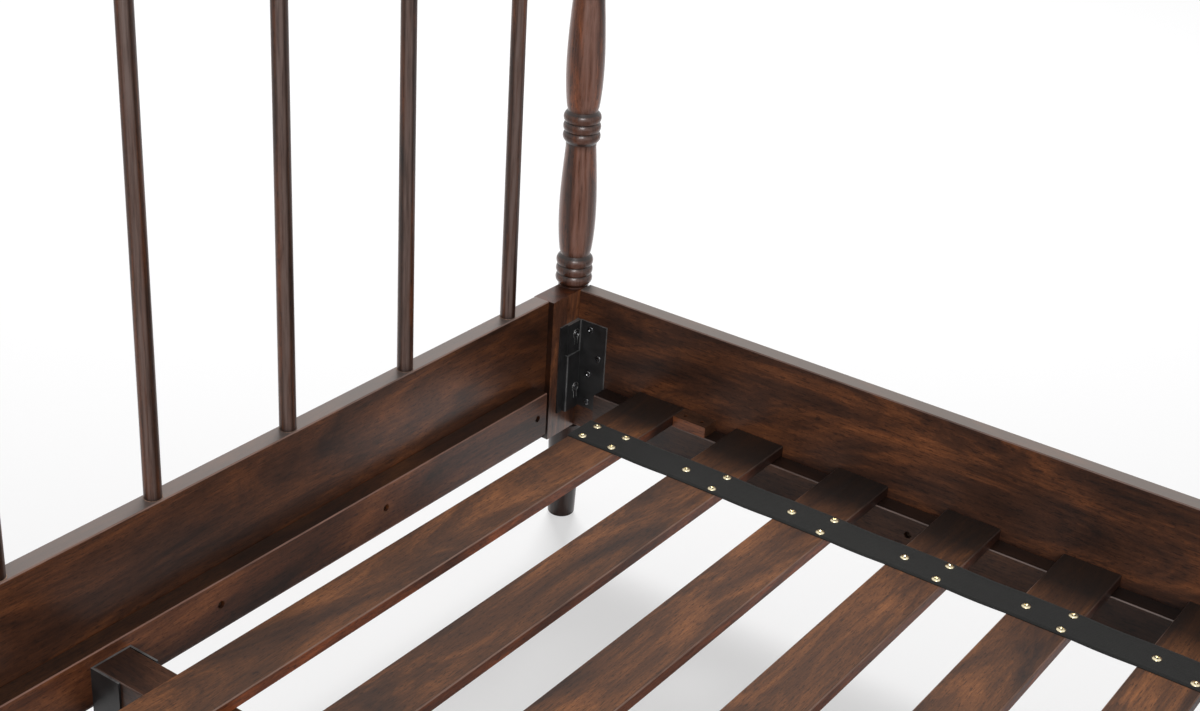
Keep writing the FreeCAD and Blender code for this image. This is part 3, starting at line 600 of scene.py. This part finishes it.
# Each rod is darker towards its base.
spindle_base_darkening = ((0, 0.9), (0.004, 0.3), (0.012, 0.0))
ring_roughness = 0.4
ring_lacquer = 0.2
joint_ring = 0.0007
joint_ring_edge = 0.3
joint_ring_in = 0.0003
joint_ring_under = 0.0002
spindle_wood = hardwood(
    "spindle_hardwood",
    "z",
    spindle_tones,
    spindle_roughness,
    spindle_lacquer,
    stain_and_shade_runs=True,
    closeness=spindle_closeness,
)
highlight_ring_wood = hardwood("highlight_ring_hardwood", "z", highlight_ring_tones, ring_roughness, ring_lacquer)
for number in range(1, spindle_count + 1):
    node = f"spindle_{number}"
    low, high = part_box(node)
    x, y = middle(low, high)
    outline = [(0, low.z), (spindle_base, low.z)]
    outline += [(spindle_base, rail_line + above, share) for above, share in spindle_base_darkening]
    outline += [(spindle_tip, high.z), (0, high.z)]
    spindle = turn(f"{node}_rod", outline, x, y, spindle_sides, spindle_wood)
    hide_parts(node)
    inner, outer = spindle_base - joint_ring_in, spindle_base + joint_ring
    under = rail_line - joint_ring_under
    bead = [
        (inner, under),
        (outer, under),
        (outer, rail_line + joint_ring * joint_ring_edge),
        (inner, rail_line + joint_ring),
        (inner, under),
    ]
    # A thin ring in light wood, as a painted highlight.
    turn(f"{node}_joint_ring", bead, x, y, spindle_sides, highlight_ring_wood)


# ---- Ledgers, cleats and stop blocks ----
# Hardwood battens carry the slats along the rails and line the boards at both ends. They are
# screwed on through recessed holes. Short stop blocks on the ledgers hold the roll in place.
ledger_tones = ((0.036, 0.0150, 0.0090), (0.082, 0.0350, 0.0190), (0.150, 0.0640, 0.0320))
# Painted shade darkens the ledgers' top and bottom faces.
ledger_painted_shade = (("z", "MULTIPLY", 1, (0.30, 0.30, 0.33)),)
ledger_roughness = 0.38
ledger_lacquer = 0.15
ledger_wood = hardwood(
    "ledger_hardwood", "y", ledger_tones, ledger_roughness, ledger_lacquer, ledger_painted_shade
)
for node in ("ledger_left", "ledger_right"):
    finish_node(node, ledger_wood)

stop_tones = ((0.060, 0.0240, 0.0120), (0.140, 0.0600, 0.0290), (0.260, 0.1150, 0.0560))
# Painted light lightens and warms the faces across x, and painted shadow darkens the top.
stop_painted_light_and_shade = (("x", "MULTIPLY", 1, (2.1, 1.65, 1.35)), ("up", "MULTIPLY", 1, (0.75, 0.75, 0.75)))
stop_roughness = 0.45
stop_lacquer = 0.1
stop_wood = hardwood("stop_hardwood", "y", stop_tones, stop_roughness, stop_lacquer, stop_painted_light_and_shade)
finish_node("stop_blocks", stop_wood)

cleat_tones = ((0.050, 0.0185, 0.0095), (0.165, 0.0560, 0.0230), (0.350, 0.1250, 0.0450))
# Painted shade darkens the cleats' top and bottom faces.
cleat_painted_shade = (("z", "MULTIPLY", 1, (0.4, 0.45, 0.45)),)
cleat_roughness = 0.38
cleat_lacquer = 0.05
cleat_wood = hardwood(
    "cleat_hardwood", "x", cleat_tones, cleat_roughness, cleat_lacquer, cleat_painted_shade
)
for node in ("head_cleat", "foot_cleat"):
    finish_node(node, cleat_wood)


# ---- Slats ----
# Thirteen flat slats of the same wood in a thinner, more matt stain lie across the ledgers and the
# centre beam. Eased edges are lighter, partly rubbed and partly a painted highlight; the long
# sides are lightened as painted light, and the ends darken in painted shadow towards the rails.
slat_tones = ((0.038, 0.0150, 0.0080), (0.130, 0.0530, 0.0230), (0.370, 0.1480, 0.0560))
# Painted light: the slats' long sides are lightened and warmed.
slat_painted_light = (("y", "MULTIPLY", 1, (1.5, 1.0, 0.75)),)
# Between these distances from mid-bed the slats darken in painted shadow.
slat_painted_shadow_ends = (0.675, 0.730)
slat_roughness = 0.48
slat_lacquer = 0.05
slat_wood = hardwood(
    "slat_hardwood", "x", slat_tones, slat_roughness, slat_lacquer, slat_painted_light, slat_painted_shadow_ends
)
slat_nodes = sorted(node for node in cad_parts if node.startswith("slat_"))
for node in slat_nodes:
    finish_node(node, slat_wood)


# ---- Webbing straps ----
# Two flat black straps of woven webbing tie the slats into a roll, with a thicker cord along
# both selvedges. They lie on the slats and dip a little between them.
strap_step = 0.004
strap_across = 20
strap_dip = 0.0009
strap_skin = 0.0017
strap_gap = 0.0001
strap_edge = 0.35
strap_edge_slope = 22
strap_cord = 0.0002
strap_cord_place = 0.93
strap_cord_width = 0.05
strap_crease = 50
strap_rows = 0.0016
strap_warps = 0.0021


def webbing(name):
    """Tightly woven black webbing: rows of thread across, ribs along, and a little lint."""
    cloth = Finish(name)
    x, y, _ = cloth.parts("Object")
    rows = cloth.maths("SINE", cloth.maths("MULTIPLY", y, 2 * math.pi / strap_rows))
    ribs = cloth.maths("SINE", cloth.maths("MULTIPLY", x, 2 * math.pi / strap_warps))
    weave = cloth.span(cloth.maths("MULTIPLY", rows, ribs), 0.0, 1.0, -1.0, 1.0)
    lint = cloth.cloud((260, 260, 260), 4, 0.65)
    wear = cloth.cloud((14, 4, 14), 3, 0.6)
    colour = cloth.ramp(weave, [(0.1, (0.006, 0.006, 0.006)), (0.9, (0.020, 0.020, 0.019))])
    for share, field, stops in (
        (0.6, lint, [(0.30, (0.60, 0.60, 0.60)), (0.70, (1.50, 1.50, 1.45))]),
        (0.5, wear, [(0.35, (0.75, 0.75, 0.75)), (0.65, (1.25, 1.25, 1.20))]),
    ):
        colour = cloth.blend("MULTIPLY", share, colour, cloth.ramp(field, stops))
    cloth.set("Base Color", colour)
    cloth.set("Roughness", cloth.span(lint, 0.72, 0.92))
    cloth.set("Specular IOR Level", 0.18)
    cloth.set("Sheen Weight", 0.12)
    cloth.set("Sheen Roughness", 0.5)
    cloth.relief((weave, 0.7, 0.0004), (lint, 0.2, 0.0003))
    return cloth.material


strap_cloth = webbing("black_webbing")
slat_spans = [(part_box(node)[0].y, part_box(node)[1].y) for node in slat_nodes]
slat_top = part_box("slat_01")[1].z


def lies_at(y):
    """Height of the strap's underside: on a slat it rests, between slats it dips."""
    for low, high in slat_spans:
        if low <= y <= high:
            return slat_top
    below = max(span[1] for span in slat_spans if span[1] < y)
    above = min(span[0] for span in slat_spans if span[0] > y)
    share = (y - below) / (above - below)
    return slat_top - strap_dip * math.sin(math.pi * share)


def close_tube(shape, rows):
    """Skins a run of closed loops of vertices, and caps both ends."""
    for low, high in zip(rows, rows[1:]):
        for i in range(len(low)):
            j = (i + 1) % len(low)
            shape.faces.new((low[i], low[j], high[j], high[i]))
    shape.faces.new(rows[0][::-1])
    shape.faces.new(rows[-1])


for side in ("left", "right"):
    node = f"strap_{side}"
    low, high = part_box(node)
    centre, half = (low.x + high.x) / 2, (high.x - low.x) / 2
    count = round((high.y - low.y) / strap_step)
    shape = bmesh.new()
    loops = []
    for i in range(count + 1):
        y = low.y + (high.y - low.y) * i / count
        rise = lies_at(y)
        across = [2 * j / strap_across - 1 for j in range(strap_across + 1)]
        loop = []
        for t in across:
            cord = strap_cord * math.exp(-((abs(t) - strap_cord_place) / strap_cord_width) ** 2)
            thick = strap_skin * min(1, (1 - abs(t)) * strap_edge_slope + strap_edge) + cord
            loop.append(shape.verts.new((centre + t * half, y, rise + thick)))
        for t in reversed(across):
            loop.append(shape.verts.new((centre + t * half, y, rise + strap_gap)))
        loops.append(loop)
    close_tube(shape, loops)
    bmesh.ops.recalc_face_normals(shape, faces=shape.faces)
    strap = place_mesh(f"{node}_webbing", shape, strap_cloth, "slat_roll", strap_crease)
    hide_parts(node)


# ---- Brass strap screws ----
# Low domed cross-head screws of pale brass hold the straps to every slat: four on the first and
# last slats, and three on each of the others.
strap_screw_head = 0.0052
strap_screw_rise = 0.0016
end_screw_spots = ((-0.0152, 0.0155), (0.0152, 0.0155), (-0.0152, 0.0584), (0.0152, 0.0584))
slat_screw_spots = ((0.0, 0.0120), (-0.0165, 0.0585), (0.0165, 0.0585))
strap_screw_sink = 0.0002
head_sides = 32
head_rings = 6
head_edge = 0.3
head_fullness = 0.6
cross_reach = 0.70
cross_width = 0.17
cross_depth = 0.9
cross_taper = 0.4
cross_clear = 1.5
head_weld = 2e-6
screw_spin = 2.39996
screw_crease = 35


def metal(name, colour, rough, worn):
    """Bare metal with a fine haze of wear."""
    finish = Finish(name)
    haze = finish.cloud((900, 900, 900), 3)
    dull = tuple(c * worn for c in colour)
    finish.set("Base Color", finish.ramp(haze, [(0.35, dull), (0.65, colour)]))
    finish.set("Roughness", finish.span(haze, rough - 0.08, rough + 0.10))
    finish.set("Metallic", 1.0)
    finish.relief((haze, 0.08, 0.0002))
    return finish.material


def ring_of(shape, radius, z, sides):
    """A level circle of vertices about the origin."""
    points = [(radius * math.cos(a), radius * math.sin(a), z) for a in around(sides)]
    return [shape.verts.new(point) for point in points]


def cross_head(name, radius, rise):
    """Mesh of one low domed screw head at the origin, facing +Z, with a cross recess cut in it."""
    shape = bmesh.new()
    rows = [ring_of(shape, radius, z, head_sides) for z in (0, rise * head_edge)]
    for k in range(1, head_rings):
        lean = math.pi / 2 * k / head_rings
        height = rise * (head_edge + (1 - head_edge) * math.sin(lean))
        rows.append(ring_of(shape, radius * math.cos(lean) ** head_fullness, height, head_sides))
    close_tube(shape, rows)
    head_mesh = bpy.data.meshes.new(name)
    shape.to_mesh(head_mesh)
    shape.free()
    head = bpy.data.objects.new(name, head_mesh)
    scene.collection.objects.link(head)

    blade = bmesh.new()
    thin, reach = radius * cross_width, radius * cross_reach
    for half_x, half_y in ((reach, thin), (thin, reach)):
        rows = []
        for z, shrink in ((rise * (1 - cross_depth), cross_taper), (rise * cross_clear, 1.0)):
            x = half_x * (shrink if half_x > half_y else 1)
            y = half_y * (shrink if half_y > half_x else 1)
            corners = ((-x, -y), (x, -y), (x, y), (-x, y))
            rows.append([blade.verts.new((*corner, z)) for corner in corners])
        blade.faces.new(rows[0][::-1])
        blade.faces.new(rows[1])
        for i in range(4):
            j = (i + 1) % 4
            blade.faces.new((rows[0][i], rows[0][j], rows[1][j], rows[1][i]))
    blade_mesh = bpy.data.meshes.new(f"{name}_blade")
    blade.to_mesh(blade_mesh)
    blade.free()
    cutter = bpy.data.objects.new(f"{name}_blade", blade_mesh)
    scene.collection.objects.link(cutter)
    cut = head.modifiers.new("recess", "BOOLEAN")
    cut.object = cutter
    cut.operation = "DIFFERENCE"
    cut.solver = "EXACT"
    cut.use_self = True
    cut_head = head.evaluated_get(bpy.context.evaluated_depsgraph_get())
    done = bpy.data.meshes.new_from_object(cut_head)
    bpy.data.objects.remove(head)
    bpy.data.objects.remove(cutter)
    cleaned = bmesh.new()
    cleaned.from_mesh(done)
    bmesh.ops.remove_doubles(cleaned, verts=cleaned.verts, dist=head_weld)
    bmesh.ops.dissolve_degenerate(cleaned, edges=cleaned.edges, dist=head_weld)
    cleaned.to_mesh(done)
    cleaned.free()
    return done


def set_screws(name, head_mesh, spots, coat, body):
    """One piece with a copy of a screw head at each spot, each turned a little differently.

    A spot is a point on the surface and the direction that the head faces.
    """
    shape = bmesh.new()
    for number, (point, facing) in enumerate(spots):
        start = len(shape.verts)
        shape.from_mesh(head_mesh)
        shape.verts.ensure_lookup_table()
        stand = Vector(facing).to_track_quat("Z", "Y").to_matrix().to_4x4()
        spin = Matrix.Rotation(number * screw_spin, 4, "Z")
        move = Matrix.Translation(point) @ stand @ spin
        bmesh.ops.transform(shape, matrix=move, verts=shape.verts[start:])
    return place_mesh(name, shape, coat, body, screw_crease)


brass = metal("pale_brass", (0.93, 0.82, 0.56), 0.26, 0.85)
brass_head = cross_head("strap_screw_head", strap_screw_head, strap_screw_rise)
strap_top = slat_top + strap_skin
for side in ("left", "right"):
    low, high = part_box(f"strap_{side}")
    centre = (low.x + high.x) / 2
    spots = []
    for number, (_, slat_high) in enumerate(slat_spans):
        last = number in (0, len(slat_spans) - 1)
        for across, down in end_screw_spots if last else slat_screw_spots:
            point = Vector((centre + across, slat_high - down, strap_top - strap_screw_sink))
            spots.append((point, (0, 0, 1)))
    set_screws(f"strap_screws_{side}", brass_head, spots, brass, "slat_roll")


# ---- Steel keepers and rail brackets ----
# Folded sheet steel under satin black powder coat. Its bends and cut edges are grey, partly as
# worn coat and partly as a painted highlight, and its level faces are grey as a painted highlight.
# A keeper is screwed to each joint block, and the rail's bracket drops its tongue into its pocket.
def powder_coat(name, flange_line):
    """Black coat on steel, grey at cut and bent edges (wear and painted highlight) and on level
    faces (painted highlight). Flanges lie beyond a line in x.
    """
    coat = Finish(name)
    peel = coat.cloud((700, 700, 700), 2)
    scuffs = coat.cloud((60, 60, 60), 5, 0.6)
    x, _, _ = coat.parts("Object")
    side, end, up = (coat.maths("ABSOLUTE", part) for part in coat.parts("Normal"))
    # Painted highlight: bends, level faces and cut flange edges mix towards grey; bends and edges
    # also wear.
    bend = coat.span(coat.maths("MULTIPLY", side, end), 0.0, 0.5, 0.15, 0.45)
    top = coat.span(up, 0.0, 1.0, 0.5, 0.9)
    beyond = coat.maths("GREATER_THAN", coat.maths("ABSOLUTE", x), flange_line)
    cut_edge = coat.maths("MULTIPLY", beyond, coat.span(end, 0.0, 1.0, 0.6, 0.9))
    worn = coat.maths("MAXIMUM", coat.maths("MAXIMUM", bend, top), cut_edge)
    worn = coat.maths("MULTIPLY", worn, coat.span(scuffs, 0.45, 1.0, 0.35, 0.6))
    black = coat.ramp(scuffs, [(0.3, (0.013, 0.013, 0.0135)), (0.75, (0.032, 0.032, 0.033))])
    coat.set("Base Color", coat.blend("MIX", worn, black, (0.22, 0.22, 0.22)))
    coat.set("Roughness", coat.span(scuffs, 0.28, 0.46))
    coat.relief((peel, 0.12, 0.0003))
    return coat.material


rail_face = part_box("side_rail_right")[0].x
steel = 0.0025
flange_play = 0.0001
steel_coat = powder_coat("black_powder_coat", rail_face - steel - flange_play)
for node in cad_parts:
    if node.startswith(("keeper_", "rail_bracket_")):
        finish_node(node, steel_coat)


# ---- Fitting screws and their keyhole slots ----
# Blackened cross-head screws fix the keepers and brackets. The two in each tongue stand in
# keyhole slots whose rims are pressed up; the rims' bright steel is a painted highlight.
fitting_screw_head = 0.0044
fitting_screw_rise = 0.0016
tongue_screw_in = 0.01075
tongue_screw_drops = (0.0171, 0.0927)
flange_screws = ((0.0211, 0.0097), (0.0356, 0.0469), (0.0211, 0.0731), (0.0211, 0.1135))
keyhole_round = 0.0062
keyhole_neck = 0.0030
keyhole_drop = 0.0150
tongue_step = 0.0053
rim_radius = 0.00045
rim_sides = 8
rim_steps = 28
rim_crease = 60

keeper_low, keeper_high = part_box("keeper_head_right")
fitting_top = keeper_high.z
block_face = keeper_high.y
tongue_front = block_face - tongue_step
wall_front = keeper_low.y
blackened = metal("blackened_screw", (0.15, 0.15, 0.155), 0.32, 0.6)
fitting_head = cross_head("fitting_screw_head", fitting_screw_head, fitting_screw_rise)
# Painted highlight: the keyhole rims are a bright steel.
rim_painted_highlight_steel = metal("painted_highlight_steel", (0.50, 0.50, 0.49), 0.30, 0.5)

spots = []
tongue_points = []
for end in (-1, 1):
    for side in (-1, 1):
        x = (rail_face - steel) * side
        for reach, drop in flange_screws:
            point = Vector((x, (block_face - reach) * end, fitting_top - drop))
            spots.append((point, (-side, 0, 0)))
        x = (rail_face - tongue_screw_in) * side
        for front, drop in zip((tongue_front, wall_front), tongue_screw_drops):
            point = Vector((x, front * end, fitting_top - drop))
            spots.append((point, (0, -end, 0)))
            tongue_points.append(point)
fitting_screws = set_screws("fitting_screws", fitting_head, spots, blackened, "frame")
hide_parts("bracket_screws")


def rim(shape, path):
    """A closed-ended round bead along a path of points."""
    rows = []
    for i, point in enumerate(path):
        ahead = path[min(i + 1, len(path) - 1)] - path[max(i - 1, 0)]
        stand = ahead.to_track_quat("Z", "Y").to_matrix()
        row = []
        for a in around(rim_sides):
            edge = Vector((rim_radius * math.cos(a), rim_radius * math.sin(a), 0))
            row.append(shape.verts.new(point + stand @ edge))
        rows.append(row)
    close_tube(shape, rows)


shape = bmesh.new()
opening = math.asin(keyhole_neck / keyhole_round)
start, arc = -math.pi / 2 + opening, 2 * math.pi - 2 * opening
turns = [start + arc * i / rim_steps for i in range(rim_steps + 1)]
for point in tongue_points:
    path = [point + Vector((keyhole_neck, 0, -keyhole_drop))]
    path += [point + keyhole_round * Vector((math.cos(a), 0, math.sin(a))) for a in turns]
    path += [point + Vector((-keyhole_neck, 0, -keyhole_drop))]
    rim(shape, path)
place_mesh("keyhole_rims", shape, rim_painted_highlight_steel, "frame", rim_crease)


# ---- Screws in the battens ----
# Each recess in the cleats, ledgers and stop blocks holds a small bronzed steel screw, sunk well
# below the face of the wood.
batten_screw_head = 0.0036
batten_screw_rise = 0.0012
batten_screw_depth = 0.0045
cleat_screw_places = (0.147, 0.404, 0.689)
ledger_screw_places = (0.8940, 0.5233)
stop_screw_head = 0.0023
stop_screw_rise = 0.0010
stop_screw_depth = 0.0075
stop_screw_in = 0.0156
stop_screw_end = 0.0115
stop_length = 0.047
bronze = metal("bronzed_screw", (0.10, 0.068, 0.050), 0.38, 0.5)
batten_head = cross_head("batten_screw_head", batten_screw_head, batten_screw_rise)
stop_head = cross_head("stop_screw_head", stop_screw_head, stop_screw_rise)

spots = []
for end, node in ((1, "head_cleat"), (-1, "foot_cleat")):
    low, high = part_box(node)
    face = low.y if end > 0 else high.y
    for side in (-1, 1):
        for x in cleat_screw_places:
            point = Vector((x * side, face + batten_screw_depth * end, (low.z + high.z) / 2))
            spots.append((point, (0, -end, 0)))
for side, node in ((-1, "ledger_left"), (1, "ledger_right")):
    low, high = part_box(node)
    face = high.x if side < 0 else low.x
    x = face + batten_screw_depth * side
    for y in [0] + [place * end for place in ledger_screw_places for end in (-1, 1)]:
        spots.append((Vector((x, y, (low.z + high.z) / 2)), (-side, 0, 0)))
set_screws("batten_screws", batten_head, spots, bronze, "frame")

spots = []
stop_low, stop_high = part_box("stop_blocks")
for side in (-1, 1):
    x = (rail_face - stop_screw_in) * side
    for low_y in (stop_low.y, stop_high.y - stop_length):
        for y in (low_y + stop_screw_end, low_y + stop_length - stop_screw_end):
            spots.append((Vector((x, y, stop_high.z - stop_screw_depth)), (0, 0, 1)))
set_screws("stop_screws", stop_head, spots, bronze, "frame")


# ---- Centre support ----
# A beam runs from cleat to cleat in two steel hangers, on two square legs. Each leg ends in a
# threaded zinc stud on a black nylon pad.
pad_radius = 0.0170
pad_height = 0.008
pad_edge = 0.0015
stud_radius = 0.0040
stud_pitch = 0.0025
stud_cut = 0.0004
stud_collar = 0.002
pad_sides = 48
stud_sides = 32
beam_roughness = 0.40
beam_lacquer = 0.1
beam_wood = hardwood("beam_hardwood", "y", ledger_tones, beam_roughness, beam_lacquer)
finish_node("centre_beam", beam_wood)
finish_node("beam_hangers", steel_coat)
# The legs take the blocks' finish, with its painted light and shade.
for number in (1, 2):
    finish_node(f"centre_leg_{number}", block_wood)


def nylon(name):
    """Moulded black nylon with a faint orange-peel skin."""
    plastic = Finish(name)
    skin = plastic.cloud((1400, 1400, 1400), 2)
    haze = plastic.cloud((90, 90, 90), 3)
    tones = [(0.3, (0.012, 0.012, 0.012)), (0.7, (0.026, 0.026, 0.026))]
    plastic.set("Base Color", plastic.ramp(haze, tones))
    plastic.set("Roughness", plastic.span(haze, 0.42, 0.58))
    plastic.relief((skin, 0.15, 0.0002))
    return plastic.material


black_nylon = nylon("black_nylon")
zinc = metal("zinc_stud", (0.62, 0.62, 0.60), 0.34, 0.7)
for number, body in ((1, "levelling_foot_a"), (2, "levelling_foot_b")):
    node = f"levelling_foot_{number}"
    low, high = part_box(node)
    x, y = middle(low, high)
    inside = pad_radius - pad_edge
    outline = [(0, 0), (inside, 0)]
    outline += sweep((inside, pad_edge), pad_edge, start=-80, stop=0, steps=5)
    outline += sweep((inside, pad_height - pad_edge), pad_edge, start=0, stop=85, steps=5)
    outline += [(stud_radius + stud_collar, pad_height), (0, pad_height)]
    pad = turn(
        f"{node}_pad", outline, x, y, pad_sides, black_nylon, body=body
    )
    outline = [(0, pad_height)]
    turns = int((high.z - pad_height) / stud_pitch)
    for i in range(turns):
        z = pad_height + i * stud_pitch
        outline += [(stud_radius - stud_cut, z), (stud_radius, z + stud_pitch / 2)]
    tip = pad_height + turns * stud_pitch
    outline += [(stud_radius - stud_cut, tip), (0, tip)]
    stud = turn(f"{node}_stud", outline, x, y, stud_sides, zinc, body=body)
    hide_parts(node)
    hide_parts(node)
